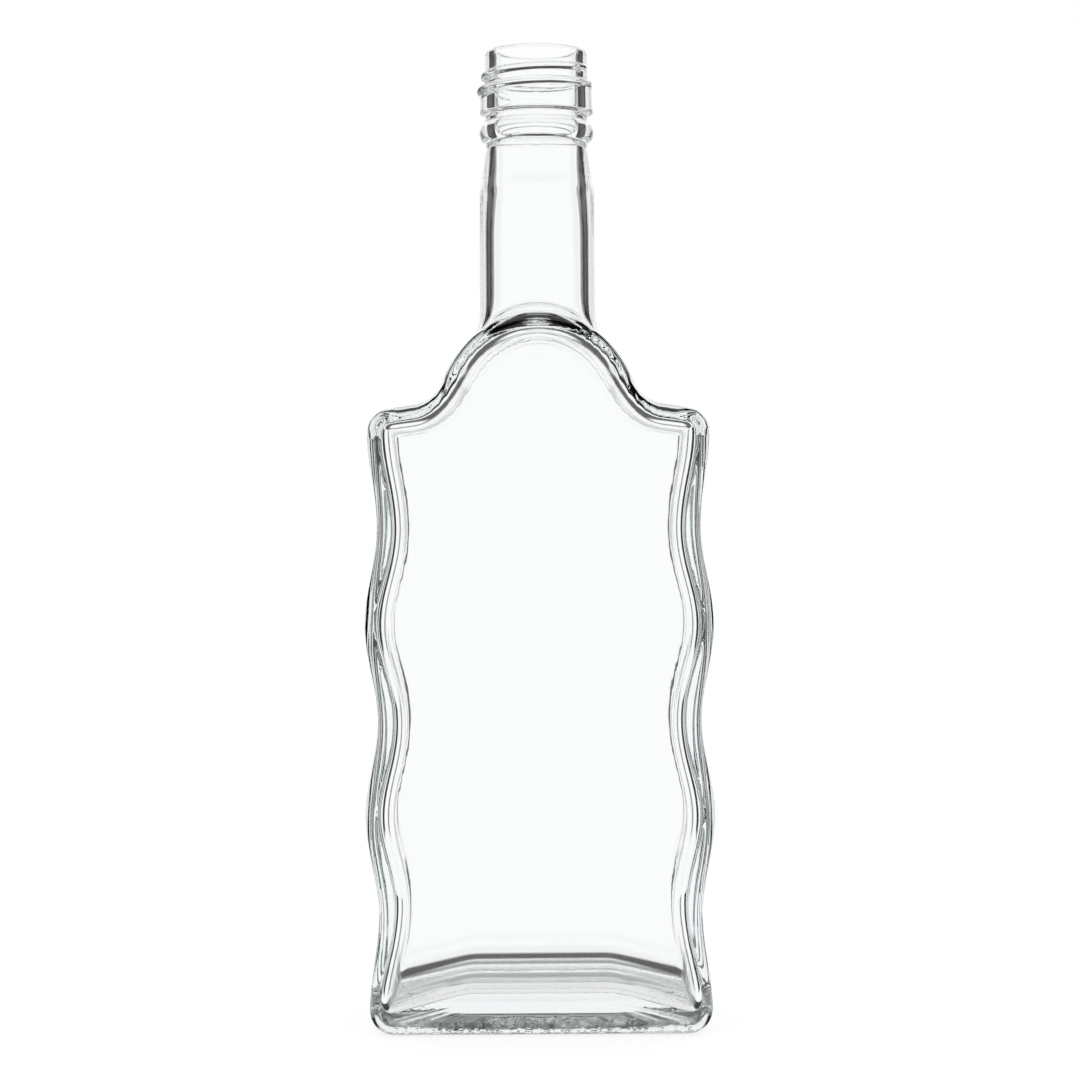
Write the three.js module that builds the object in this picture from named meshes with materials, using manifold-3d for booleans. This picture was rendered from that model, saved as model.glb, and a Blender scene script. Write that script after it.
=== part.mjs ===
// A clear glass flask bottle, moulded in one piece. It has a flat body with waved sides, a domed
// top, a round neck and a finish for a roll-on screw cap. Units are millimetres and +Z is up.
// The front panel faces -Y, and the origin is the middle of the surface that the bottle stands on.
import * as THREE from "three";
import { mergeVertices } from "three/addons/utils/BufferGeometryUtils.js";
import Module from "manifold-3d";

// Body, seen from the front
const WAVE_PITCH = 51.2; // from one crest of the waved side to the next
const WAVE_COUNT = 3; // waves between the heel and the shoulder
const HEEL_CREST_HEIGHT = 6.6; // lowest crest, where the side turns into the heel
const END_HALF_WIDTH = 45.55; // at the lowest and the highest crest
const CREST_HALF_WIDTH = 46.65; // at the crests between them
const TROUGH_HALF_WIDTH = 43.1;
const HEEL_RADIUS = 6.6;
const SHOULDER_RISE = 1.2; // straight side above the highest crest
const SHOULDER_RADIUS = 5;
const SHOULDER_SLOPE = THREE.MathUtils.degToRad(8);
const DOME_RADIUS = 26.7;
const DOME_RISE = 32; // top of the dome above the highest crest
const DOME_FILLET = 8; // hollow between the shoulder and the dome

// Body, from front to back
const BODY_DEPTH = 56;
const EDGE_DEPTH = 5.5; // the rounded edge between a panel and the side, along Y
const EDGE_WIDTH = 3.6; // the same edge, seen from the front

// Glass and cavity
const SIDE_GLASS = 2.6;
const PANEL_GLASS = 2.6;
const CAVITY_EDGE_DEPTH = 4;
const CAVITY_EDGE_WIDTH = 3;
const CAVITY_SHOULDER_RADIUS = 4.2;
const CAVITY_HEEL_RADIUS = 4.5;
const FLOOR_HEIGHT = 13.9; // flat middle of the arched floor
const FLOOR_FLAT_HALF_WIDTH = 18;
const FLOOR_FALL = THREE.MathUtils.degToRad(16);

// Hollow under the base
const PUSH_UP_HEIGHT = 4.5;
const PUSH_UP_SLOPE_WIDTH = 9.5;
const BEARING_WIDTH = 4.5; // flat glass that stands on the table
const PUSH_UP_CORNER = 14;
const PUSH_UP_SLOPE_LIMIT = 0.7; // widest slope, as a share of the corner

// Neck, upwards from the top of the dome
const NECK_RADIUS = 15.55;
const NECK_HEIGHT = 34.9;
const NECK_FILLET = 4.5;
const STEP_HEIGHT = 2.2; // small step at the top of the neck
const STEP_TOP_RADIUS = 14.8;
const TAPER_HEIGHT = 9.1;
const WAIST_RADIUS = 13.65;
const WAIST_HEIGHT = 1.8;

// Finish, upwards from the waist
const BEAD_HEIGHT = 5.4;
const BEAD_RADIUS = 15.6;
const GROOVE_HEIGHT = 2.2;
const GROOVE_RADIUS = 14;
const BAND_HEIGHT = 8;
const BAND_FOOT_RADIUS = 15.55;
const BAND_TOP_RADIUS = 15.15;
const BAND_FOOT_BEVEL = 0.3; // heights of the small bevels below and above the band
const BAND_TOP_BEVEL = 0.5;
const THREAD_ROOT_HEIGHT = 6.4; // plain wall that carries the thread
const THREAD_ROOT_RADIUS = 14.15;
const LIP_HEIGHT = 3.2;
const LIP_RADIUS = 14.05;
const LIP_ROUNDING = 1.1;
const MOUTH_ROUNDING = 0.4;
const MOUTH_RADIUS = 11.4;
const BORE_RADIUS = 12.5;
const BORE_TAPER_HEIGHT = 12; // narrowing of the bore, up to the waist

// Facets
const WAVE_STEPS = 9; // for each wave
const CORNER_STEPS = 5;
const DOME_STEPS = 12;
const EDGE_STEPS = 4;
const ROUND_STEPS = 40;
const BEAD_STEPS = 8;
const FILLET_STEPS = 4;
const LIP_STEPS = 3;
const HEEL_ROUNDS = 6;
const COLLAR_SINK = 0.4; // the collar's rim lies this far under the dome's surface
const CUT_PAST = 1; // a cut runs this far past the surface that it opens

// Heights that follow from the sizes above
const topCrest = HEEL_CREST_HEIGHT + WAVE_COUNT * WAVE_PITCH;
const domeTop = topCrest + DOME_RISE;
const domeCentre = domeTop - DOME_RADIUS;
const stepFoot = domeTop + NECK_HEIGHT;
const stepTop = stepFoot + STEP_HEIGHT;
const waist = stepTop + TAPER_HEIGHT;
const beadFoot = waist + WAIST_HEIGHT;
const beadTop = beadFoot + BEAD_HEIGHT;
const bandFoot = beadTop + GROOVE_HEIGHT;
const bandTop = bandFoot + BAND_HEIGHT;
const threadTop = bandTop + THREAD_ROOT_HEIGHT;
const mouth = threadTop + LIP_HEIGHT;

const wasm = await Module();
wasm.setup();

function solid(geometry) {
  const bare = geometry.clone();
  bare.deleteAttribute("normal");
  bare.deleteAttribute("uv");
  const merged = mergeVertices(bare, 1e-4);
  return new wasm.Manifold(
    new wasm.Mesh({
      numProp: 3,
      vertProperties: merged.attributes.position.array,
      triVerts: new Uint32Array(merged.index.array),
    }),
  );
}

function geometryOf(manifold) {
  const mesh = manifold.getMesh();
  const geometry = new THREE.BufferGeometry();
  geometry.setAttribute("position", new THREE.BufferAttribute(new Float32Array(mesh.vertProperties), 3));
  geometry.setIndex(new THREE.BufferAttribute(new Uint32Array(mesh.triVerts), 1));
  const faceted = geometry.toNonIndexed();
  faceted.computeVertexNormals();
  return faceted;
}

// Points of an arc, without its first point, which the outline already holds.
function arc(centreX, centreY, radius, from, to, steps) {
  const points = [];
  for (let i = 1; i <= steps; i++) {
    const angle = from + ((to - from) * i) / steps;
    points.push(
      new THREE.Vector2(centreX + radius * Math.cos(angle), centreY + radius * Math.sin(angle)),
    );
  }
  return points;
}

// Half width and slope of the waved side at a height. Each half wave is a half turn of a cosine.
function waveAt(height) {
  const halfPitch = WAVE_PITCH / 2;
  const step = THREE.MathUtils.clamp(
    Math.floor((height - HEEL_CREST_HEIGHT) / halfPitch),
    0,
    2 * WAVE_COUNT - 1,
  );
  const extreme = (i) => {
    if (i % 2) return TROUGH_HALF_WIDTH;
    return i === 0 || i === 2 * WAVE_COUNT ? END_HALF_WIDTH : CREST_HALF_WIDTH;
  };
  const low = extreme(step);
  const rise = extreme(step + 1) - low;
  const share = THREE.MathUtils.clamp((height - HEEL_CREST_HEIGHT) / halfPitch - step, 0, 1);
  return {
    halfWidth: low + (rise * (1 - Math.cos(Math.PI * share))) / 2,
    slope: (rise * Math.PI * Math.sin(Math.PI * share)) / (2 * halfPitch),
  };
}

// The waved side, moved inwards by the inset along its own normal.
function wavedSide(inset, from, to) {
  const steps = WAVE_COUNT * WAVE_STEPS;
  const points = [];
  for (let i = 0; i <= steps; i++) {
    const height = from + ((to - from) * i) / steps;
    const { halfWidth, slope } = waveAt(height);
    const length = Math.hypot(1, slope);
    points.push(new THREE.Vector2(halfWidth - inset / length, height + (inset * slope) / length));
  }
  return points;
}

// A point on the shoulder line and the centre of the shoulder corner. The line touches the outer
// corner, and lies the inset below it for the cavity.
function shoulder(inset, cornerRadius) {
  const up = new THREE.Vector2(Math.sin(SHOULDER_SLOPE), Math.cos(SHOULDER_SLOPE));
  const inwards = new THREE.Vector2(-up.y, up.x);
  const outerCorner = new THREE.Vector2(END_HALF_WIDTH - SHOULDER_RADIUS, topCrest + SHOULDER_RISE);
  const onLine = outerCorner.addScaledVector(up, SHOULDER_RADIUS - inset);
  const below = onLine.clone().addScaledVector(up, -cornerRadius);
  const along = (below.x - (END_HALF_WIDTH - inset - cornerRadius)) / up.y;
  return { up, inwards, onLine, corner: below.addScaledVector(inwards, along) };
}

// Shoulder corner, shoulder, hollow and dome, up to the middle of the dome.
function shoulderAndDome(inset, cornerRadius) {
  const { up, inwards, onLine, corner } = shoulder(inset, cornerRadius);
  // The hollow touches the line from above and the dome from outside.
  const domeRadius = DOME_RADIUS - inset;
  const hollowRadius = DOME_FILLET + inset;
  const start = onLine.clone().addScaledVector(up, hollowRadius);
  start.y -= domeCentre;
  const reach = domeRadius + hollowRadius;
  const b = start.dot(inwards);
  const t = -b - Math.sqrt(b * b - start.lengthSq() + reach * reach);
  const hollow = start.addScaledVector(inwards, t);
  const hollowAngle = Math.atan2(hollow.y, hollow.x);
  return [
    ...arc(corner.x, corner.y, cornerRadius, 0, Math.PI / 2 - SHOULDER_SLOPE, CORNER_STEPS),
    ...arc(
      hollow.x,
      hollow.y + domeCentre,
      hollowRadius,
      -Math.PI / 2 - SHOULDER_SLOPE,
      hollowAngle - Math.PI,
      CORNER_STEPS,
    ),
    ...arc(0, domeCentre, domeRadius, hollowAngle, Math.PI / 2, DOME_STEPS),
  ];
}

// A closed shape from the points of its right half, which start and end off the middle line.
function mirroredShape(rightHalf) {
  const left = rightHalf
    .filter((p) => p.x > 1e-6)
    .map((p) => new THREE.Vector2(-p.x, p.y))
    .reverse();
  return new THREE.Shape([...rightHalf, ...left]);
}

// Extrudes a front outline along Y, centred, with rounded edges at both panels.
function slab(shape, depth, edgeDepth, edgeWidth) {
  const geometry = new THREE.ExtrudeGeometry(shape, {
    depth: depth - 2 * edgeDepth,
    bevelThickness: edgeDepth,
    bevelSize: edgeWidth,
    bevelOffset: -edgeWidth,
    bevelSegments: EDGE_STEPS,
    steps: 1,
  });
  geometry.translate(0, 0, edgeDepth - depth / 2);
  geometry.rotateX(Math.PI / 2);
  return solid(geometry);
}

function bodyOuter() {
  const heelX = END_HALF_WIDTH - HEEL_RADIUS;
  const outline = [
    new THREE.Vector2(heelX, 0),
    ...arc(heelX, HEEL_RADIUS, HEEL_RADIUS, -Math.PI / 2, 0, CORNER_STEPS).slice(0, -1),
    ...wavedSide(0, HEEL_RADIUS, shoulder(0, SHOULDER_RADIUS).corner.y),
    ...shoulderAndDome(0, SHOULDER_RADIUS),
  ];
  return slab(mirroredShape(outline), BODY_DEPTH, EDGE_DEPTH, EDGE_WIDTH);
}

// Lower corner of the cavity, which touches the falling floor and the waved side. The height where
// it meets the side is found in a few rounds.
function cavityHeel() {
  const reach = SIDE_GLASS + CAVITY_HEEL_RADIUS;
  let sideFoot = FLOOR_HEIGHT;
  let heel;
  for (let i = 0; i < HEEL_ROUNDS; i++) {
    const { halfWidth, slope } = waveAt(sideFoot);
    const end = Math.atan(-slope);
    const x = halfWidth - reach * Math.cos(end);
    const touchX = x - CAVITY_HEEL_RADIUS * Math.sin(FLOOR_FALL);
    const touchZ = FLOOR_HEIGHT - (touchX - FLOOR_FLAT_HALF_WIDTH) * Math.tan(FLOOR_FALL);
    const z = touchZ + CAVITY_HEEL_RADIUS * Math.cos(FLOOR_FALL);
    heel = { x, z, end, touchX, touchZ, sideFoot };
    sideFoot = z + reach * Math.sin(end);
  }
  return heel;
}

function bodyCavity() {
  const heel = cavityHeel();
  const heelStart = -Math.PI / 2 - FLOOR_FALL;
  const outline = [
    new THREE.Vector2(FLOOR_FLAT_HALF_WIDTH, FLOOR_HEIGHT),
    new THREE.Vector2(heel.touchX, heel.touchZ),
    ...arc(heel.x, heel.z, CAVITY_HEEL_RADIUS, heelStart, heel.end, CORNER_STEPS).slice(0, -1),
    ...wavedSide(SIDE_GLASS, heel.sideFoot, shoulder(SIDE_GLASS, CAVITY_SHOULDER_RADIUS).corner.y),
    ...shoulderAndDome(SIDE_GLASS, CAVITY_SHOULDER_RADIUS),
  ];
  return slab(mirroredShape(outline), BODY_DEPTH - 2 * PANEL_GLASS, CAVITY_EDGE_DEPTH, CAVITY_EDGE_WIDTH);
}

// The hollow under the base: a rounded rectangle whose sides arch up to a flat middle.
function pushUp() {
  const halfX = END_HALF_WIDTH - HEEL_RADIUS - BEARING_WIDTH;
  const halfY = BODY_DEPTH / 2 - EDGE_DEPTH - BEARING_WIDTH;
  const corner = Math.min(PUSH_UP_CORNER, halfY);
  const quarter = (sx, sy, from) => {
    const centre = new THREE.Vector2(sx * (halfX - corner), sy * (halfY - corner));
    const start = new THREE.Vector2(Math.cos(from), Math.sin(from)).multiplyScalar(corner).add(centre);
    return [start, ...arc(centre.x, centre.y, corner, from, from + Math.PI / 2, CORNER_STEPS)];
  };
  const shape = new THREE.Shape([
    ...quarter(1, 1, 0),
    ...quarter(-1, 1, Math.PI / 2),
    ...quarter(-1, -1, Math.PI),
    ...quarter(1, -1, Math.PI * 1.5),
  ]);
  const slope = Math.min(PUSH_UP_SLOPE_WIDTH, PUSH_UP_SLOPE_LIMIT * corner);
  const geometry = new THREE.ExtrudeGeometry(shape, {
    depth: CUT_PAST,
    bevelThickness: PUSH_UP_HEIGHT,
    bevelSize: slope,
    bevelOffset: -slope,
    bevelSegments: EDGE_STEPS,
    steps: 1,
  });
  geometry.translate(0, 0, -CUT_PAST);
  return solid(geometry);
}

function revolved(profile) {
  return solid(new THREE.LatheGeometry(profile, ROUND_STEPS).rotateX(Math.PI / 2));
}

// Neck and finish, from inside the dome to the mouth, as a solid turned piece.
function neckOuter() {
  const v = (r, z) => new THREE.Vector2(r, z);
  const beadMiddle = beadFoot + BEAD_HEIGHT / 2;
  const bead = [];
  for (let i = 0; i <= BEAD_STEPS; i++) {
    const angle = Math.PI * (i / BEAD_STEPS - 0.5);
    const swell = (BEAD_RADIUS - GROOVE_RADIUS) * Math.cos(angle);
    bead.push(v(GROOVE_RADIUS + swell, beadMiddle + (BEAD_HEIGHT / 2) * Math.sin(angle)));
  }
  return revolved([
    v(0, domeCentre),
    v(NECK_RADIUS, domeCentre),
    v(NECK_RADIUS, stepFoot),
    v(STEP_TOP_RADIUS, stepTop),
    v(WAIST_RADIUS, waist),
    ...bead,
    v(GROOVE_RADIUS, bandFoot),
    v(BAND_FOOT_RADIUS, bandFoot + BAND_FOOT_BEVEL),
    v(BAND_TOP_RADIUS, bandTop - BAND_TOP_BEVEL),
    v(THREAD_ROOT_RADIUS, bandTop),
    v(THREAD_ROOT_RADIUS, threadTop),
    v(LIP_RADIUS, mouth - LIP_ROUNDING),
    ...arc(LIP_RADIUS - LIP_ROUNDING, mouth - LIP_ROUNDING, LIP_ROUNDING, 0, Math.PI / 2, LIP_STEPS),
    v(0, mouth),
  ]);
}

function bore() {
  const v = (r, z) => new THREE.Vector2(r, z);
  const above = mouth + CUT_PAST;
  return revolved([
    v(0, domeCentre),
    v(BORE_RADIUS, domeCentre),
    v(BORE_RADIUS, waist - BORE_TAPER_HEIGHT),
    v(MOUTH_RADIUS, waist),
    v(MOUTH_RADIUS, mouth - MOUTH_ROUNDING),
    v(MOUTH_RADIUS + MOUTH_ROUNDING, mouth),
    v(MOUTH_RADIUS + MOUTH_ROUNDING, above),
    v(0, above),
  ]);
}

// Collar that fills the corner between the round neck and the dome, whose surface falls away to
// both sides. Each ring follows the dome's surface, a little higher the closer it is to the neck.
function neckCollar() {
  const rings = [];
  const ring = (radius, lift) => {
    const points = [];
    for (let i = 0; i < ROUND_STEPS; i++) {
      const angle = (2 * Math.PI * i) / ROUND_STEPS;
      const x = radius * Math.cos(angle);
      const y = radius * Math.sin(angle);
      points.push(x, y, domeCentre + Math.sqrt(DOME_RADIUS ** 2 - x ** 2) + lift);
    }
    rings.push(points);
  };
  for (let i = 0; i <= FILLET_STEPS; i++) {
    const angle = (Math.PI / 2) * (i / FILLET_STEPS);
    ring(NECK_RADIUS + NECK_FILLET * (1 - Math.cos(angle)), NECK_FILLET * (1 - Math.sin(angle)));
  }
  ring(NECK_RADIUS + NECK_FILLET, -COLLAR_SINK);
  ring(NECK_RADIUS + NECK_FILLET, -2 * NECK_FILLET);
  const top = domeTop + NECK_FILLET;
  const bottom = domeTop - 3 * NECK_FILLET;
  const positions = [...rings.flat(), 0, 0, top, 0, 0, bottom];
  const topIndex = rings.length * ROUND_STEPS;
  const faces = [];
  for (let i = 0; i < ROUND_STEPS; i++) {
    const next = (i + 1) % ROUND_STEPS;
    faces.push(topIndex, i, next);
    for (let j = 0; j + 1 < rings.length; j++) {
      const upper = j * ROUND_STEPS;
      const lower = upper + ROUND_STEPS;
      faces.push(upper + i, lower + i, lower + next, upper + i, lower + next, upper + next);
    }
    const last = topIndex - ROUND_STEPS;
    faces.push(topIndex + 1, last + next, last + i);
  }
  const geometry = new THREE.BufferGeometry();
  geometry.setAttribute("position", new THREE.Float32BufferAttribute(positions, 3));
  geometry.setIndex(faces);
  return solid(geometry);
}

const outside = bodyOuter().add(neckOuter()).add(neckCollar());
const inside = bodyCavity().add(bore());
const glass = outside.subtract(inside).subtract(pushUp());

const clearGlass = new THREE.MeshStandardMaterial({
  color: 0xf1f5f4,
  roughness: 0.04,
  metalness: 0,
  transparent: true,
  opacity: 0.35,
});

const bottle = new THREE.Mesh(geometryOf(glass), clearGlass);
bottle.name = "bottle";

const part = new THREE.Group();
part.add(bottle);

export default part;
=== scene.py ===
"""Looks of a clear glass flask bottle, laid out as a Blender add-on and run as a script.

The glass is one closed mesh. Its outer and inner surfaces are described by rounded distance
functions, and rows of rays from the bottle's axis find them, so that the mesh is even and smooth.
"""

import math

import bpy
import numpy as np
from bpy.props import FloatProperty, FloatVectorProperty, IntProperty, PointerProperty
from mathutils import Matrix, Vector


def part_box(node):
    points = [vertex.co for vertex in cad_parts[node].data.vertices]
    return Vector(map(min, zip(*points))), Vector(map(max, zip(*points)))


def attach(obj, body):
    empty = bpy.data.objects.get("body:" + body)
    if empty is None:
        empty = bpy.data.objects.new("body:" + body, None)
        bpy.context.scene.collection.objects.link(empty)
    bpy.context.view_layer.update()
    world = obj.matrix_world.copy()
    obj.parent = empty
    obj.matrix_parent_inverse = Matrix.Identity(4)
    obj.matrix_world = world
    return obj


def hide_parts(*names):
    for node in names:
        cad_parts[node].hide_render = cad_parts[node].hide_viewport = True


bl_info = {
    "name": "Glass flask bottle",
    "version": (1, 0, 0),
    "blender": (4, 5, 0),
    "location": "View3D > Sidebar > Bottle",
    "description": "Makes a clear glass flask bottle and a plain studio round it",
    "category": "Add Mesh",
}

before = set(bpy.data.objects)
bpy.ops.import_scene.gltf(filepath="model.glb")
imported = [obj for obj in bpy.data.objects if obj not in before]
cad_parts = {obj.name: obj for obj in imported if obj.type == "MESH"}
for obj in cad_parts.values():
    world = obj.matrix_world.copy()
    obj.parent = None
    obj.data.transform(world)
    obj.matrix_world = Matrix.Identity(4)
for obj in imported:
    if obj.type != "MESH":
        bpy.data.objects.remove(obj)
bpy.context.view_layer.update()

MM = 0.001
NODE = "bottle"
BODY = "root"
GROUP_LABEL = "Bottle"


def length(name, millimetres, description):
    return FloatProperty(name=name, description=description, default=millimetres * MM, unit="LENGTH")


def angle(name, degrees, description):
    return FloatProperty(name=name, description=description, default=math.radians(degrees), subtype="ANGLE")


def share(name, value, description):
    return FloatProperty(name=name, description=description, default=value, min=0.0)


def colour(name, value, description):
    return FloatVectorProperty(name=name, description=description, default=value, subtype="COLOR", size=3)


class BOTTLE_PG_body(bpy.types.PropertyGroup):
    wave_pitch: length("Wave pitch", 51.2, "From one crest of the waved side to the next")
    wave_count: IntProperty(name="Waves", description="Waves from heel to shoulder", default=3, min=1)
    heel_crest: length("Lowest crest", 6.6, "Height of the lowest crest")
    end_half: length("End half width", 45.55, "Half width at the lowest and highest crest")
    crest_half: length("Crest half width", 46.53, "Half width at the crests between them")
    trough_half: length("Trough half width", 43.1, "Half width at the troughs")
    heel_radius: length("Heel radius", 6.6, "Rounding between the side and the base")
    shoulder_rise: length("Shoulder rise", 1.2, "Straight side above the highest crest")
    shoulder_radius: length("Shoulder radius", 5, "Rounding of the shoulder corner")
    shoulder_slope: angle("Shoulder slope", 8, "Fall of the shoulder towards the side")
    dome_radius: length("Dome radius", 26.7, "Radius of the dome seen from the front")
    dome_rise: length("Dome rise", 32.0, "Top of the dome above the highest crest")
    dome_fillet: length("Dome fillet", 6.5, "Hollow between the shoulder and the dome")
    edge_depth: length("Edge depth", 5.5, "Rounded edge of a panel, from front to back")
    edge_width: length("Edge width", 3.6, "Rounded edge of a panel, seen from the front")


class BOTTLE_PG_cavity(bpy.types.PropertyGroup):
    side_glass: length("Side glass", 3.2, "Wall at the crests of the waved side")
    trough_glass: length("Trough glass", 0.8, "Extra wall at the troughs of the waved side")
    top_glass: length("Top glass", 3.1, "Wall of the shoulders and the dome")
    unevenness: length("Unevenness", 0.5, "How much the wall of the blown cavity varies")
    panel_glass: length("Panel glass", 2.6, "Wall at the front and the back")
    inner_edge_depth: length("Inner edge depth", 7, "Inner rounding of a panel, from front to back")
    floor_edge_depth: length("Floor edge depth", 4, "The same where the panel meets the floor")
    floor_edge_rise: length("Floor edge rise", 30, "Height over which one goes over into the other")
    inner_edge_width: length("Inner edge width", 4.2, "Inner rounding of a panel, seen from the front")
    inner_shoulder_radius: length("Inner shoulder radius", 3, "Inner rounding of the shoulder")
    inner_heel_radius: length("Inner heel radius", 4, "Inner rounding at the ends of the floor")
    floor_height: length("Floor height", 12.3, "Height of the flat middle of the floor")
    floor_flat_half: length("Floor flat half width", 18, "Half width of the flat middle")
    floor_softness: length("Floor softness", 3, "Rounding where the flat middle starts to fall")
    floor_tilt: angle("Floor tilt", 3.4, "Rise of the floor towards the back, where the glass is thicker")
    floor_fall: angle("Floor fall", 16, "Fall of the floor towards the sides")
    neck_fillet: length("Inner neck fillet", 9, "Rounding where the cavity runs into the neck")
    push_up: length("Push-up", 4.5, "Height of the hollow under the base")
    push_up_slope: length("Push-up slope", 10.5, "Width of the slope round that hollow")
    push_up_corner: length("Push-up corner", 14, "Corner of that hollow, seen from below")
    bearing: length("Bearing width", 4.5, "Flat glass that stands on the table")


class BOTTLE_PG_neck(bpy.types.PropertyGroup):
    radius: length("Neck radius", 15.55, "Outer radius of the neck")
    height: length("Neck height", 34.9, "From the top of the dome to the small step")
    fillet: length("Neck fillet", 8, "Rounding between the neck and the dome")
    step_height: length("Step height", 3.4, "Height of the small step")
    step_radius: length("Step top radius", 14.8, "Outer radius above the step")
    taper_height: length("Taper height", 7.9, "From the step to the waist")
    waist_radius: length("Waist radius", 13.65, "Narrowest outer radius")
    waist_height: length("Waist height", 1.8, "From the waist to the bead")
    bead_height: length("Bead height", 5.4, "Height of the round bead")
    bead_radius: length("Bead radius", 15.6, "Outer radius of the bead")
    groove_height: length("Groove height", 2.2, "Groove between bead and band")
    groove_radius: length("Groove radius", 14.0, "Outer radius in the groove")
    band_height: length("Band height", 8.0, "Height of the plain band")
    band_foot_radius: length("Band foot radius", 15.55, "Outer radius at the foot of the band")
    band_top_radius: length("Band top radius", 15.15, "Outer radius at the top of the band")
    band_foot_bevel: length("Band foot bevel", 0.3, "Height of the slope under the band")
    band_top_bevel: length("Band top bevel", 0.5, "Height of the slope over the band")
    thread_wall_radius: length("Thread wall radius", 14.15, "Outer radius of that wall")
    lip_radius: length("Lip radius", 14.05, "Outer radius of the lip")
    lip_rounding: length("Lip rounding", 1.3, "Rounding of the lip's outer edge")
    mouth_rounding: length("Mouth rounding", 0.7, "Rounding of the lip's inner edge")
    mouth_radius: length("Mouth radius", 11.4, "Radius of the bore at the mouth")
    bore_radius: length("Bore radius", 12.5, "Radius of the bore in the neck")
    bore_taper: length("Bore taper", 24, "Height over which the bore narrows")
    softness: length("Softness", 0.7, "Width over which the turned edges are rounded")


class BOTTLE_PG_marks(bpy.types.PropertyGroup):
    thread_height: length("Thread height", 1.05, "How far the thread stands out")
    thread_pitch: length("Thread pitch", 4.0, "Rise of the thread in one turn")
    thread_width: length("Thread width", 2.3, "Width of the thread at its foot")
    thread_turns: share("Thread turns", 1.7, "Turns from the start of the thread to its end")
    thread_drop: length("Thread drop", 5.2, "From the mouth down to the start of the thread")
    seam_height: length("Seam height", 0.1, "How far the mould seams stand out")
    seam_width: length("Seam width", 0.55, "Width of the mould seams")


class BOTTLE_PG_glass(bpy.types.PropertyGroup):
    colour: colour("Colour", (0.985, 0.992, 0.99), "Colour of the clear glass")
    tint: colour("Tint", (0.62, 0.78, 0.8), "Colour that thick glass takes")
    tint_density: share("Tint density", 4.0, "How fast thick glass takes its tint, per metre")
    ior: share("Index of refraction", 1.52, "Refraction of container glass")
    waviness: share("Waviness", 0.04, "Strength of the slow waves in the moulded surface")
    wave_scale: share("Wave scale", 38, "Slow waves per metre")
    trace_scale: share("Trace scale", 900, "Fine traces of roughness per metre")
    stipple: share("Stipple", 0.3, "Strength of the grip marks on the bearing surface")
    stipple_scale: share("Stipple scale", 700, "Grip marks per metre")
    stipple_height: length("Stipple height", 4.6, "Height above the floor at which they have faded")
    under_height: length("Underside height", 5.5, "Height below which the glass is rougher")
    under_roughness: share("Underside roughness", 0.16, "Roughness of the glass under the base")


class BOTTLE_PG_studio(bpy.types.PropertyGroup):
    distance: length("Camera distance", 750, "From the camera to the bottle's axis")
    height: length("Camera height", 131.4, "Above the floor")
    aside: length("Camera aside", 0.33, "To the right of the bottle's axis")
    view_width: length("View width", 296.2, "Width of the picture at the bottle's axis")
    roll: angle("Camera roll", 0.33, "Turn of the camera about its line of sight")
    floor_radius: length("Floor radius", 240, "Radius of the round floor")
    floor_grey: share("Floor grey", 0.2, "How much of the light the floor returns")
    floor_glow: share("Floor glow", 0.84, "Light of the floor's own that the camera sees")
    floor_glow_in_glass: share("Floor glow in glass", 0.79, "Light of the floor's own that the glass sees")
    foot_x: length("Foot half width", 43.5, "Half width of the dark contact shade's inner edge")
    foot_y: length("Foot half depth", 26.5, "Half depth of the dark contact shade's inner edge")
    shade_solid: length("Shade width", 17, "Width of the contact shade before it fades")
    shade_end: length("Shade end", 26, "Distance from the foot at which the shade has faded")
    flag_angle: angle("Flag angle", 27.5, "From a side of the studio to its dark flags")
    flag_low: angle("Flag foot", -10, "Elevation below which the flags end")
    flag_high: angle("Flag top", 17, "Elevation above which the flags end")
    ceiling_low: angle("Ceiling start", 24, "Elevation at which the dark ceiling starts")
    top_light: angle("Top light start", 56, "Elevation at which the soft top light starts")
    ceiling_light: share("Ceiling light", 0.06, "Brightness of the dark ceiling")
    flag_light: share("Flag light", 0.0, "Brightness of the dark flags")


PROPERTY_GROUPS = {
    "bottle_body": BOTTLE_PG_body,
    "bottle_cavity": BOTTLE_PG_cavity,
    "bottle_neck": BOTTLE_PG_neck,
    "bottle_marks": BOTTLE_PG_marks,
    "bottle_glass": BOTTLE_PG_glass,
    "bottle_studio": BOTTLE_PG_studio,
}


BEAD_POINTS = 17
PROFILE_STEP = 0.02 * MM


class Value:
    """A socket that adds Math nodes when it is used in a Python expression."""

    def __init__(self, maker, socket):
        self.maker = maker
        self.socket = socket

    def math(self, operation, *others):
        values = {i: v for i, v in enumerate((self, *others))}
        return self.maker.node("ShaderNodeMath", {"operation": operation}, values)

    def __add__(self, other):
        return self.math("ADD", other)

    def __radd__(self, other):
        return self.math("ADD", other)

    def __sub__(self, other):
        return self.math("SUBTRACT", other)

    def __rsub__(self, other):
        return self.maker.node("ShaderNodeMath", {"operation": "SUBTRACT"}, {0: other, 1: self})

    def __mul__(self, other):
        return self.math("MULTIPLY", other)

    def __rmul__(self, other):
        return self.math("MULTIPLY", other)

    def __truediv__(self, other):
        return self.math("DIVIDE", other)

    def __rtruediv__(self, other):
        return self.maker.node("ShaderNodeMath", {"operation": "DIVIDE"}, {0: other, 1: self})

    def __abs__(self):
        return self.math("ABSOLUTE")

    def ramp(self, low, high):
        """Smoothly from 0 at low to 1 at high."""
        settings = {"interpolation_type": "SMOOTHSTEP"}
        values = {"Value": self, "From Min": low, "From Max": high}
        return self.maker.node("ShaderNodeMapRange", settings, values)


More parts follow.
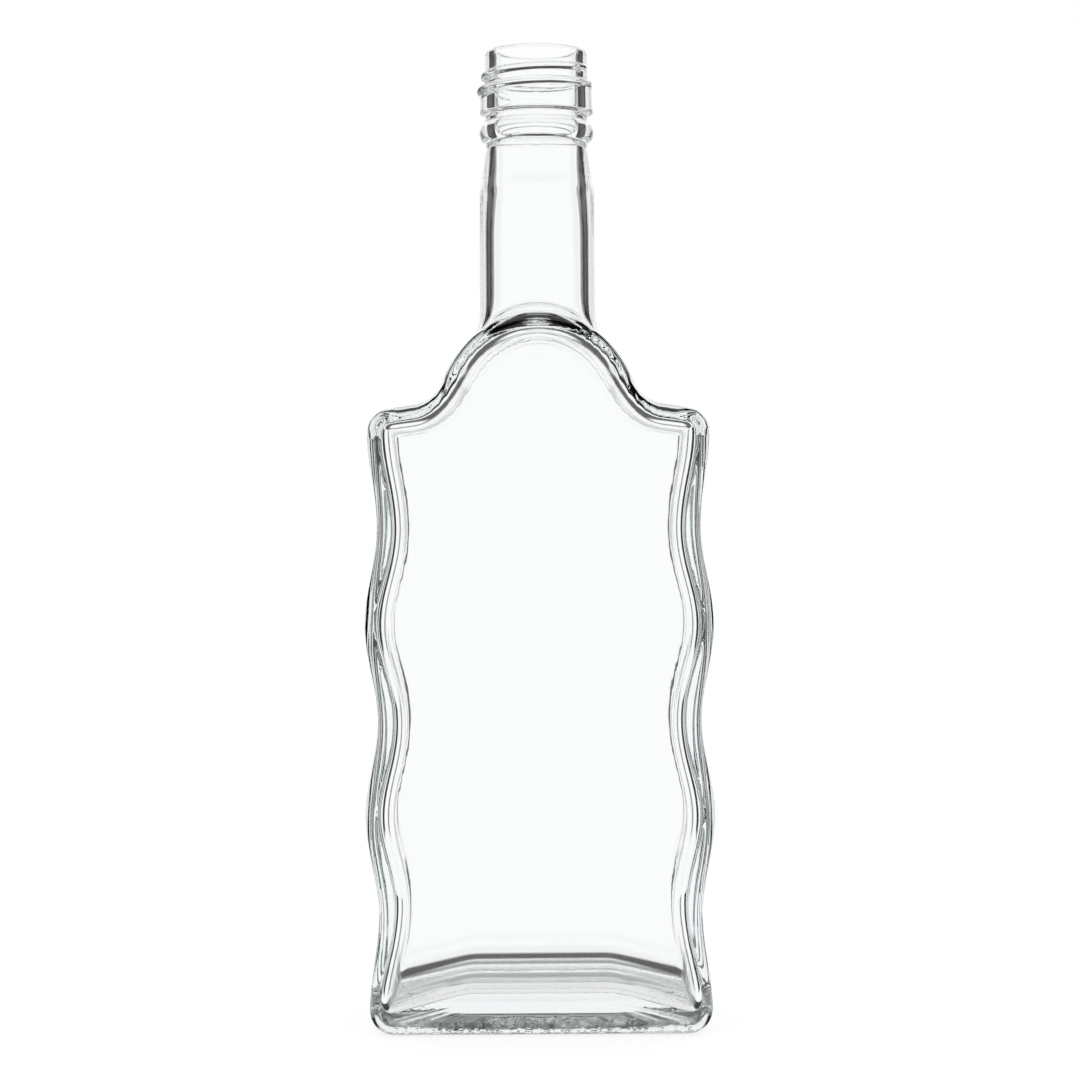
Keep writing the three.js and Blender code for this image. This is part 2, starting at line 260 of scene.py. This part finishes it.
class Nodes:
    """Adds nodes to one tree."""

    def __init__(self, tree):
        self.tree = tree
        self.columns = 0

    def node(self, kind, settings=None, values=None, output=0):
        """Adds a node, sets its settings first and then its sockets, and returns one output."""
        made = self.tree.nodes.new(kind)
        made.location = (self.columns * 180, 0)
        self.columns += 1
        for key, setting in (settings or {}).items():
            setattr(made, key, setting)
        for key, value in (values or {}).items():
            self.plug(made.inputs[key], value)
        return Value(self, made.outputs[output]) if len(made.outputs) else made

    def plug(self, socket, value):
        if isinstance(value, Value):
            self.tree.links.new(value.socket, socket)
        else:
            socket.default_value = value

    def grey(self, value):
        """A colour from black to white."""
        made = self.tree.nodes.new("ShaderNodeMix")
        made.data_type = "RGBA"
        made.clamp_factor = False
        colours = [socket for socket in made.inputs if socket.type == "RGBA"]
        for socket, level in zip(colours, (0.0, 1.0)):
            socket.default_value = (level, level, level, 1.0)
        self.plug(made.inputs["Factor"], value)
        return Value(self, next(socket for socket in made.outputs if socket.type == "RGBA"))

    def parts(self, vector):
        """The three parts of a vector."""
        made = self.tree.nodes.new("ShaderNodeSeparateXYZ")
        self.plug(made.inputs[0], vector)
        return [Value(self, out) for out in made.outputs]


def meet(a, b, radius):
    """Distance to what two shapes share, with the edge between them rounded."""
    over_a = np.maximum(a + radius, 0)
    over_b = np.maximum(b + radius, 0)
    return np.minimum(np.maximum(a, b), -radius) + np.hypot(over_a, over_b)


def blend(a, b, radius):
    """Distance to two shapes together, with a round fillet between them."""
    under_a = np.maximum(radius - a, 0)
    under_b = np.maximum(radius - b, 0)
    return np.maximum(np.minimum(a, b), radius) - np.hypot(under_a, under_b)


def flow(a, b, width):
    """Distance to two shapes together, with a hollow that starts and ends without an edge."""
    near = np.maximum(width - np.abs(a - b), 0) / width
    return np.minimum(a, b) - near**3 * width / 6


class Form:
    """The bottle's surfaces as functions, in metres, from the sizes that the panel shows."""

    def __init__(self, scene):
        self.body = scene.bottle_body
        self.cavity = scene.bottle_cavity
        self.neck = scene.bottle_neck
        low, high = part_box(NODE)
        self.depth = high[1] - low[1]
        self.mouth = high[2]
        b = self.body
        n = self.neck
        self.top_crest = b.heel_crest + b.wave_count * b.wave_pitch
        self.dome_top = self.top_crest + b.dome_rise
        self.dome_centre = self.dome_top - b.dome_radius
        self.step_foot = self.dome_top + n.height
        self.waist = self.step_foot + n.step_height + n.taper_height

    def wave(self, z):
        """Half width and slope of the waved side at a height."""
        b = self.body
        half_pitch = b.wave_pitch / 2
        last = 2 * b.wave_count
        extremes = np.where(np.arange(last + 1) % 2, b.trough_half, b.crest_half)
        extremes[[0, last]] = b.end_half
        step = np.clip(np.floor((z - b.heel_crest) / half_pitch), 0, last - 1).astype(int)
        part = np.clip((z - b.heel_crest) / half_pitch - step, 0, 1)
        rise = extremes[step + 1] - extremes[step]
        half = extremes[step] + rise * (1 - np.cos(np.pi * part)) / 2
        return half, rise * np.pi * np.sin(np.pi * part) / (2 * half_pitch)

    def front(self, x, z, side_inset, inset, corner, heel, bottom):
        """Distance to the front outline, moved inwards by the insets of the sides and the top."""
        b = self.body
        x = np.abs(x)
        half, slope = self.wave(z)
        side = (x - half) / np.hypot(1, slope) + side_inset
        up = (math.sin(b.shoulder_slope), math.cos(b.shoulder_slope))
        corner_x = b.end_half - b.shoulder_radius
        corner_z = self.top_crest + b.shoulder_rise
        shoulder = (x - corner_x) * up[0] + (z - corner_z) * up[1] - b.shoulder_radius + inset
        block = meet(meet(side, shoulder, corner), bottom, heel)
        dome = np.hypot(x, z - self.dome_centre) - b.dome_radius + inset
        return blend(block, dome, b.dome_fillet + inset)

    def slab(self, front, y, half_depth, edge_width, edge_depth):
        """The front outline given its depth, with rounded edges at both panels."""
        panel = (np.abs(y) - half_depth) / edge_depth
        return edge_width * meet(front / edge_width, panel, 1.0)

    def outside(self, x, y, z):
        b = self.body
        front = self.front(x, z, 0.0, 0.0, b.shoulder_radius, b.heel_radius, -z)
        body = self.slab(front, y, self.depth / 2, b.edge_width, b.edge_depth)
        neck = np.maximum(np.hypot(x, y) - self.neck.radius, self.dome_centre - z)
        return np.maximum(flow(body, neck, self.neck.fillet), self.push_up(x, y) - z)

    def push_up(self, x, y):
        """Height of the hollow under the base."""
        c = self.cavity
        half_x = self.body.end_half - self.body.heel_radius - c.bearing
        half_y = self.depth / 2 - self.body.edge_depth - c.bearing
        corner = min(c.push_up_corner, half_y)
        over_x = np.maximum(np.abs(x) - half_x + corner, 0)
        over_y = np.maximum(np.abs(y) - half_y + corner, 0)
        inside = corner - np.hypot(over_x, over_y)
        part = np.clip(inside / c.push_up_slope, 0, 1)
        return c.push_up * (1 - (1 - part) ** 2) ** 0.75

    def unevenness(self, x, y, z):
        """Slow changes of the wall, as blown glass has them: three waves that cross at odd angles."""
        across = np.sin(x / (17.3 * MM) + z / (24.1 * MM) + 1.7)
        along = np.sin(z / (13.1 * MM) + 2.1 * np.sin(y / (19 * MM)))
        deep = np.sin(y / (11.7 * MM) - z / (19.3 * MM) + 0.6)
        return self.cavity.unevenness * (across + along + deep) / 3

    def hollow(self, x, y, z):
        c = self.cavity
        change = self.unevenness(x, y, z)
        half, _ = self.wave(z)
        trough = (self.body.crest_half - half) / (self.body.crest_half - self.body.trough_half)
        side_glass = c.side_glass + c.trough_glass * trough + change
        along = np.hypot(np.maximum(np.abs(x) - c.floor_flat_half, 0), c.floor_softness) - c.floor_softness
        level = c.floor_height + y * math.tan(c.floor_tilt)
        floor = (level - along * math.tan(c.floor_fall) - z) * math.cos(c.floor_fall)
        top_glass = c.top_glass + change / 2
        front = self.front(x, z, side_glass, top_glass, c.inner_shoulder_radius, c.inner_heel_radius, floor)
        above_floor = np.clip((z - c.floor_height) / c.floor_edge_rise, 0, 1)
        edge_depth = c.floor_edge_depth + (c.inner_edge_depth - c.floor_edge_depth) * above_floor**2
        half_depth = self.depth / 2 - c.panel_glass - change / 2
        body = self.slab(front, y, half_depth, c.inner_edge_width, edge_depth)
        bore = np.maximum(np.hypot(x, y) - self.neck.bore_radius, self.dome_centre - z)
        return flow(body, bore, c.neck_fillet)

    def turned_profile(self):
        """Points (radius, height) of the neck and finish, from the neck up to the lip's edge."""
        n = self.neck
        z = self.step_foot
        points = [(n.radius, self.dome_top), (n.radius, z)]
        z += n.step_height
        points.append((n.step_radius, z))
        points.append((n.waist_radius, self.waist))
        bead_foot = self.waist + n.waist_height
        for part in np.linspace(-0.5, 0.5, BEAD_POINTS):
            swell = (n.bead_radius - n.groove_radius) * math.cos(math.pi * part)
            rise = n.bead_height / 2 * (1 + math.sin(math.pi * part))
            points.append((n.groove_radius + swell, bead_foot + rise))
        z = bead_foot + n.bead_height + n.groove_height
        points.append((n.groove_radius, z))
        points.append((n.band_foot_radius, z + n.band_foot_bevel))
        z += n.band_height
        points.append((n.band_top_radius, z - n.band_top_bevel))
        points.append((n.thread_wall_radius, z))
        points.append((n.lip_radius, self.mouth - n.lip_rounding))
        points.append((n.lip_radius, self.mouth))
        radii, heights = np.array(points).T
        fine = np.arange(heights[0], self.mouth, PROFILE_STEP)
        sharp = np.interp(fine, heights, radii)
        width = int(n.softness / PROFILE_STEP)
        kernel = np.hanning(width + 2)
        padded = np.pad(sharp, width, mode="edge")
        soft = np.convolve(padded, kernel / kernel.sum(), mode="same")[width:-width]
        return soft, fine


COLUMNS = 176
RAY_STEPS = 44
REACH = 120 * MM
# How closely the columns stand: everywhere, by the length of the outline, and at its corners.
EVEN_WEIGHT = 0.5
RUN_WEIGHT = 0.35
CORNER_WEIGHT = 2.2
CORNER_SPREAD = 0.16


def column_angles(half_x, half_y):
    """Angles of the mesh's columns: even on the round neck, closer at the body's corners."""
    fine = np.linspace(0, np.pi / 2, 4001)
    corner = math.atan2(half_y, half_x)
    nearest = np.maximum(np.cos(fine) / half_x, np.sin(fine) / half_y)
    edge_x, edge_y = np.cos(fine) / nearest, np.sin(fine) / nearest
    run = np.hypot(np.gradient(edge_x), np.gradient(edge_y))
    near_corner = np.exp(-(((fine - corner) / CORNER_SPREAD) ** 2))
    weight = EVEN_WEIGHT + RUN_WEIGHT * run / run.mean() + CORNER_WEIGHT * near_corner
    total = np.concatenate([[0], np.cumsum((weight[1:] + weight[:-1]) / 2)])
    quarter = np.interp(np.linspace(0, total[-1], COLUMNS // 4 + 1), total, fine)[:-1]
    mirrored = np.pi - np.concatenate([quarter[1:], [np.pi / 2]])[::-1]
    half = np.concatenate([quarter, mirrored])
    return np.concatenate([half, half + np.pi])


def fan(start, stop, count):
    """Elevations of a fan of rays, given in degrees."""
    return np.linspace(math.radians(start), math.radians(stop), count)


def find_surface(distance, origins, elevations, angles):
    """Casts a row of rays for each origin height and elevation, and returns where they cross."""
    rise = np.sin(elevations)[:, None]
    run_x = np.cos(elevations)[:, None] * np.cos(angles)
    run_y = np.cos(elevations)[:, None] * np.sin(angles)
    heights = np.asarray(origins)[:, None]
    near = np.zeros((len(elevations), len(angles)))
    far = np.full_like(near, REACH)
    for _ in range(RAY_STEPS):
        middle = (near + far) / 2
        inside = distance(middle * run_x, middle * run_y, heights + middle * rise) < 0
        near = np.where(inside, middle, near)
        far = np.where(inside, far, middle)
    return np.stack([near * run_x, near * run_y, heights + near * rise], axis=-1)


def turned_rows(radii, heights, angles):
    """Rows of a turned surface."""
    x = np.outer(radii, np.cos(angles))
    y = np.outer(radii, np.sin(angles))
    return np.stack([x, y, np.repeat(np.asarray(heights)[:, None], len(angles), axis=1)], axis=-1)


def spread(radii, heights, weights, count):
    """Points along a profile, closer together where the weight is high."""
    run = np.concatenate([[0], np.cumsum(np.hypot(np.diff(radii), np.diff(heights)) * weights[1:])])
    even = np.linspace(0, run[-1], count)
    return np.interp(even, run, radii), np.interp(even, run, heights)


def outer_rows(form, angles):
    """The outer surface: rays down to the base, out to the walls, up to the dome, then the turned finish."""
    base = 12 * MM
    chest = form.top_crest - 2 * MM
    neck_end = form.dome_top + form.neck.fillet + 1.5 * MM
    steepest = math.degrees(math.atan2(neck_end - chest, form.neck.radius))
    under = np.concatenate([fan(-88, -34, 20), fan(-32.5, -1.5, 40)])
    walls = np.linspace(base, chest, 86)
    crown = np.concatenate([fan(1, 33, 46), fan(34, steepest, 36)])
    radii, heights = form.turned_profile()
    above = heights > neck_end
    radii, heights = radii[above], heights[above]
    plain_neck_end = form.step_foot - 2 * MM
    thread_foot = form.mouth - 16 * MM
    bends = [plain_neck_end, form.step_foot, thread_foot, thread_foot + 4 * MM]
    weights = np.interp(heights, bends, [0.3, 1, 1, 2])
    radii, heights = spread(radii, heights, weights, 134)
    keep = heights < form.mouth - form.neck.lip_rounding
    return np.concatenate([
        find_surface(form.outside, np.full(len(under), base), under, angles),
        find_surface(form.outside, walls, np.zeros(len(walls)), angles),
        find_surface(form.outside, np.full(len(crown), chest), crown, angles),
        turned_rows(radii[keep], heights[keep], angles),
    ])


def lip_and_bore_rows(form, angles):
    """Over the lip and down the bore."""
    n = form.neck
    round_over = np.linspace(0, np.pi / 2, 6)
    outer_r = n.lip_radius - n.lip_rounding * (1 - np.cos(round_over))
    outer_z = form.mouth - n.lip_rounding * (1 - np.sin(round_over))
    inner_r = n.mouth_radius + n.mouth_rounding * (1 - np.sin(round_over))
    inner_z = form.mouth - n.mouth_rounding * (1 - np.cos(round_over))
    bore_z = np.linspace(form.mouth - n.mouth_rounding, form.dome_top + n.fillet, 30)[1:]
    part = np.clip((form.waist - bore_z) / n.bore_taper, 0, 1)
    bore_r = n.mouth_radius + (n.bore_radius - n.mouth_radius) * part * part * (3 - 2 * part)
    radii = np.concatenate([outer_r, inner_r, bore_r])
    heights = np.concatenate([outer_z, inner_z, bore_z])
    return turned_rows(radii, heights, angles)


def inner_rows(form, angles):
    """The cavity: rays up to the dome, out to the walls, and down to the floor."""
    chest = form.top_crest - 3 * MM
    low = 26 * MM
    bore_end = form.dome_top + form.neck.fillet - 1.5 * MM
    steepest = math.degrees(math.atan2(bore_end - chest, form.neck.bore_radius))
    crown = np.concatenate([fan(steepest, 33, 30), fan(32, 1, 30)])
    walls = np.linspace(chest, low, 62)
    floor = np.concatenate([fan(-1, -38, 30), fan(-40, -88, 16)])
    return np.concatenate([
        find_surface(form.hollow, np.full(len(crown), chest), crown, angles),
        find_surface(form.hollow, walls, np.zeros(len(walls)), angles),
        find_surface(form.hollow, np.full(len(floor), low), floor, angles),
    ])


def closed_mesh(name, rows, first_pole, last_pole):
    """A closed mesh from rows of points, with one point at each end."""
    count, width, _ = rows.shape
    points = np.concatenate([rows.reshape(-1, 3), [first_pole, last_pole]])
    column = np.arange(width)
    after = (column + 1) % width
    faces = []
    for row in range(count - 1):
        low = row * width
        high = low + width
        faces.extend(np.stack([low + column, low + after, high + after, high + column], axis=1).tolist())
    top = (count - 1) * width
    first = count * width
    faces.extend(np.stack([np.full(width, first), after, column], axis=1).tolist())
    faces.extend(np.stack([np.full(width, first + 1), top + column, top + after], axis=1).tolist())
    mesh = bpy.data.meshes.new(name)
    mesh.from_pydata(points.tolist(), [], faces)
    mesh.validate()
    mesh.shade_smooth()
    return mesh


def mould_marks_tree(material):
    """Geometry nodes that raise the thread and the mould seams along the surface normals."""
    tree = bpy.data.node_groups.new("mould_marks", "GeometryNodeTree")
    face = tree.interface
    face.new_socket("Geometry", in_out="INPUT", socket_type="NodeSocketGeometry")
    face.new_socket("Geometry", in_out="OUTPUT", socket_type="NodeSocketGeometry")
    names = (
        "thread height", "thread pitch", "thread width", "thread turns", "thread start",
        "seam height", "seam width", "finish foot", "finish top",
    )
    for name in names:
        face.new_socket(name, in_out="INPUT", socket_type="NodeSocketFloat")
    n = Nodes(tree)
    source = tree.nodes.new("NodeGroupInput")
    size = {name: Value(n, source.outputs[name]) for name in names}
    position = n.node("GeometryNodeInputPosition")
    x, y, z = n.parts(position)
    reach = (x * x + y * y).math("SQRT")
    turn = y.math("ARCTAN2", x) / math.tau
    rise = (size["thread start"] - z) / size["thread pitch"] + turn
    nearest = rise.math("ROUND")
    off = abs(rise - nearest) * size["thread pitch"] * 2.0 / size["thread width"]
    along = nearest - turn
    ends = along.ramp(0.0, 0.12) * (size["thread turns"] - along).ramp(0.0, 0.12)
    outer_wall = reach.ramp(12.9 * MM, 13.3 * MM)
    thread = (1.0 - off.ramp(0.25, 1.0)) * ends * outer_wall * size["thread height"]
    in_finish = z.ramp(size["finish foot"] - 0.5 * MM, size["finish foot"])
    below_lip = 1.0 - z.ramp(size["finish top"] - 4.0 * MM, size["finish top"] - 2.5 * MM)
    sides = 1.0 - (abs(y) / size["seam width"]).ramp(0.0, 1.0)
    faces = 1.0 - (abs(x) / size["seam width"]).ramp(0.0, 1.0)
    above_heel = z.ramp(4.0 * MM, 8.0 * MM)
    seams = (sides * (1.0 - in_finish) + faces * in_finish) * below_lip * above_heel
    named = "GeometryNodeInputNamedAttribute"
    is_outer = n.node(named, {"data_type": "FLOAT"}, {"Name": "outer"}, "Attribute")
    lift = (thread + seams * size["seam height"]) * is_outer
    normal = n.node("GeometryNodeInputNormal")
    offset = n.node("ShaderNodeVectorMath", {"operation": "SCALE"}, {0: normal, "Scale": lift})
    blank = Value(n, source.outputs["Geometry"])
    moved = n.node("GeometryNodeSetPosition", {}, {"Geometry": blank, "Offset": offset})
    real = n.node("GeometryNodeRealizeInstances", {}, {"Geometry": moved})
    dressed = n.node("GeometryNodeSetMaterial", {}, {"Geometry": real, "Material": material})
    sink = tree.nodes.new("NodeGroupOutput")
    n.plug(sink.inputs["Geometry"], dressed)
    return tree


def raise_marks(blank, form, marks, material):
    """Runs the mould marks on the blank and returns the plain mesh that they give."""
    tree = mould_marks_tree(material)
    values = {
        "thread height": marks.thread_height,
        "thread pitch": marks.thread_pitch,
        "thread width": marks.thread_width,
        "thread turns": marks.thread_turns,
        "thread start": form.mouth - marks.thread_drop,
        "seam height": marks.seam_height,
        "seam width": marks.seam_width,
        "finish foot": form.waist,
        "finish top": form.mouth,
    }
    modifier = blank.modifiers.new("mould_marks", "NODES")
    modifier.node_group = tree
    for item in tree.interface.items_tree:
        if item.in_out == "INPUT" and item.name in values:
            modifier[item.identifier] = values[item.name]
    bpy.context.view_layer.update()
    graph = bpy.context.evaluated_depsgraph_get()
    mesh = bpy.data.meshes.new_from_object(blank.evaluated_get(graph))
    blank.modifiers.remove(modifier)
    return mesh


def glass_material(look):
    """Clear container glass: slow moulding waves, faint roughness, and a stippled bearing ring."""
    material = bpy.data.materials.new("bottle_glass")
    material.use_nodes = True
    material.node_tree.nodes.clear()
    n = Nodes(material.node_tree)
    place = n.node("ShaderNodeTexCoord", output="Object")
    slow = n.node("ShaderNodeTexNoise", {}, {"Vector": place, "Scale": look.wave_scale, "Detail": 1.5})
    fine = n.node("ShaderNodeTexNoise", {}, {"Vector": place, "Scale": look.trace_scale, "Detail": 2.0})
    dots = n.node("ShaderNodeTexVoronoi", {}, {"Vector": place, "Scale": look.stipple_scale})
    _, _, z = n.parts(place)
    ring = 1.0 - z.ramp(0.6 * MM, look.stipple_height)
    height = slow * look.waviness + (1.0 - dots.ramp(0.1, 0.6)) * ring * look.stipple
    bump = n.node("ShaderNodeBump", {}, {"Height": height, "Strength": 0.6, "Distance": 1.0 * MM})
    under = 1.0 - z.ramp(look.under_height - 1.3 * MM, look.under_height)
    traces = slow.ramp(0.5, 0.8) * 0.012 + fine.ramp(0.62, 0.75) * 0.02
    rough = traces + under * look.under_roughness
    shader = n.node(
        "ShaderNodeBsdfPrincipled",
        {},
        {
            "Base Color": (*look.colour, 1.0),
            "Roughness": rough,
            "IOR": look.ior,
            "Transmission Weight": 1.0,
            "Normal": bump,
        },
    )
    volume = n.node(
        "ShaderNodeVolumeAbsorption", {}, {"Color": (*look.tint, 1.0), "Density": look.tint_density}
    )
    out = material.node_tree.nodes.new("ShaderNodeOutputMaterial")
    n.plug(out.inputs["Surface"], shader)
    n.plug(out.inputs["Volume"], volume)
    return material


def mark_outer(mesh, outer_count):
    """Marks the points of the outer surface, which alone carries the mould's marks."""
    values = np.zeros(len(mesh.vertices), dtype=np.float32)
    values[:outer_count] = 1.0
    attribute = mesh.attributes.new("outer", "FLOAT", "POINT")
    attribute.data.foreach_set("value", values)


class BOTTLE_OT_glass(bpy.types.Operator):
    """Make the glass bottle"""

    bl_idname = "bottle.glass"
    bl_label = "Glass"

    def execute(self, context):
        scene = context.scene
        form = Form(scene)
        angles = column_angles(scene.bottle_body.end_half, form.depth / 2)
        outer = outer_rows(form, angles)
        rows = np.concatenate([outer, lip_and_bore_rows(form, angles), inner_rows(form, angles)])
        floor_point = (0, 0, scene.bottle_cavity.floor_height)
        mesh = closed_mesh("glass_bottle", rows, (0, 0, scene.bottle_cavity.push_up), floor_point)
        mark_outer(mesh, outer.shape[0] * outer.shape[1])
        blank = bpy.data.objects.new("glass_bottle", mesh)
        scene.collection.objects.link(blank)
        material = glass_material(scene.bottle_glass)
        blank.data = raise_marks(blank, form, scene.bottle_marks, material)
        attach(blank, BODY)
        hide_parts(NODE)
        return {"FINISHED"}


FLOOR_SIDES = 96
FLOOR_GAP = 0.05 * MM
# Soft edges of the dark parts of the studio, as changes of the direction's cosine or sine.
SIDE_FADE = 0.02
BEHIND_FADE = 0.1
FOOT_FADE = 0.06
HEAD_FADE = 0.08
RING_FADE = 0.15
TOP_LIGHT_FADE = 0.1


def studio_world(studio):
    """White all round for the eye and the soft light. Glass and gloss also see a dark ring overhead
    and two dark flags behind the bottle."""
    world = bpy.data.worlds.new("studio")
    world.use_nodes = True
    world.node_tree.nodes.clear()
    n = Nodes(world.node_tree)
    x, y, z = n.parts(n.node("ShaderNodeTexCoord", output="Generated"))
    facing = abs(x).math("MAXIMUM", abs(y)) / (x * x + y * y).math("SQRT")
    edge = math.cos(studio.flag_angle)
    open_side = facing.ramp(edge - SIDE_FADE, edge + SIDE_FADE)
    low = math.sin(studio.ceiling_low)
    high = math.sin(studio.top_light)
    dark_top = z.ramp(low, low + RING_FADE) * (1.0 - z.ramp(high, high + TOP_LIGHT_FADE))
    top = 1.0 - dark_top * (1.0 - studio.ceiling_light)
    foot = math.sin(studio.flag_low)
    head = math.sin(studio.flag_high)
    behind = y.ramp(-BEHIND_FADE, BEHIND_FADE)
    level_band = z.ramp(foot - FOOT_FADE, foot) * (1.0 - z.ramp(head, head + HEAD_FADE))
    flags = (1.0 - open_side) * behind * level_band
    bright = (1.0 - flags * (1.0 - studio.flag_light)) * top
    glossy = n.node("ShaderNodeLightPath", output="Is Glossy Ray")
    through = n.node("ShaderNodeLightPath", output="Is Transmission Ray")
    seen = glossy.math("MAXIMUM", through)
    strength = bright * seen + (1.0 - seen)
    background = n.node("ShaderNodeBackground", {}, {"Color": n.grey(strength), "Strength": 1.0})
    out = world.node_tree.nodes.new("ShaderNodeOutputWorld")
    n.plug(out.inputs["Surface"], background)
    return world


def floor_material(studio):
    """A matt white table top. The contact shade round the foot is for glass and gloss, not for the camera."""
    material = bpy.data.materials.new("floor_white")
    material.use_nodes = True
    material.node_tree.nodes.clear()
    n = Nodes(material.node_tree)
    place = n.node("ShaderNodeTexCoord", output="Object")
    grain = n.node("ShaderNodeTexNoise", {}, {"Vector": place, "Scale": 30.0})
    rough = grain * 0.1 + 0.75
    x, y, _ = n.parts(place)
    beside = (abs(x) - studio.foot_x).math("MAXIMUM", 0.0)
    behind = (abs(y) - studio.foot_y).math("MAXIMUM", 0.0)
    away = (beside * beside + behind * behind).math("SQRT")
    shade = away.ramp(0.0, 2 * MM) * (1.0 - away.ramp(studio.shade_solid, studio.shade_end))
    eye = n.node("ShaderNodeLightPath", output="Is Camera Ray")
    unshaded = 1.0 - shade
    glow = eye * studio.floor_glow + (1.0 - eye) * unshaded * studio.floor_glow_in_glass
    colour = (eye + (1.0 - eye) * unshaded) * studio.floor_grey
    shader = n.node(
        "ShaderNodeBsdfPrincipled",
        {},
        {
            "Base Color": n.grey(colour),
            "Roughness": rough,
            "Specular IOR Level": 0.1,
            "Emission Color": n.grey(glow),
            "Emission Strength": 1.0,
        },
    )
    out = material.node_tree.nodes.new("ShaderNodeOutputMaterial")
    n.plug(out.inputs["Surface"], shader)
    return material


def floor_mesh(radius):
    """A round floor just under the bottle."""
    mesh = bpy.data.meshes.new("floor")
    turns = np.linspace(0, math.tau, FLOOR_SIDES + 1)[:-1]
    points = [(radius * math.cos(t), radius * math.sin(t), -FLOOR_GAP) for t in turns]
    mesh.from_pydata(points, [], [list(range(len(points)))])
    return mesh


def aim_camera(scene, studio):
    camera = bpy.data.cameras.new("camera")
    camera.sensor_width = 36.0
    camera.lens = camera.sensor_width * studio.distance / studio.view_width
    camera.clip_end = 20.0
    holder = bpy.data.objects.new("camera", camera)
    upright = Matrix.Rotation(math.pi / 2, 4, "X")
    rolled = Matrix.Rotation(studio.roll, 4, "Y")
    place = Matrix.Translation(Vector((studio.aside, -studio.distance, studio.height)))
    holder.matrix_world = place @ rolled @ upright
    scene.collection.objects.link(holder)
    scene.camera = holder


class BOTTLE_OT_studio(bpy.types.Operator):
    """Make the floor, the light and the camera"""

    bl_idname = "bottle.studio"
    bl_label = "Studio"

    def execute(self, context):
        scene = context.scene
        studio = scene.bottle_studio
        scene.world = studio_world(studio)
        floor = bpy.data.objects.new("floor", floor_mesh(studio.floor_radius))
        floor.data.materials.append(floor_material(studio))
        scene.collection.objects.link(floor)
        aim_camera(scene, studio)
        scene.view_settings.view_transform = "Standard"
        scene.cycles.max_bounces = 24
        scene.cycles.transmission_bounces = 24
        scene.cycles.glossy_bounces = 12
        return {"FINISHED"}


class BOTTLE_PT_panel(bpy.types.Panel):
    """Lists the steps that make the bottle, with their sizes and colours."""

    bl_idname = "BOTTLE_PT_panel"
    bl_label = "Glass flask bottle"
    bl_space_type = "VIEW_3D"
    bl_region_type = "UI"
    bl_category = GROUP_LABEL

    def draw(self, context):
        for operator in OPERATORS:
            self.layout.operator(operator.bl_idname)
        for group in PROPERTY_GROUPS:
            box = self.layout.box()
            values = getattr(context.scene, group)
            for key in values.__annotations__:
                box.prop(values, key)


OPERATORS = (BOTTLE_OT_glass, BOTTLE_OT_studio)
CLASSES = (*PROPERTY_GROUPS.values(), *OPERATORS, BOTTLE_PT_panel)


def register():
    for item in CLASSES:
        bpy.utils.register_class(item)
    for name, group in PROPERTY_GROUPS.items():
        setattr(bpy.types.Scene, name, PointerProperty(type=group))


def unregister():
    for name in PROPERTY_GROUPS:
        delattr(bpy.types.Scene, name)
    for item in reversed(CLASSES):
        bpy.utils.unregister_class(item)


def main():
    register()
    bpy.ops.bottle.glass()
    bpy.ops.bottle.studio()


if __name__ == "__main__":
    main()
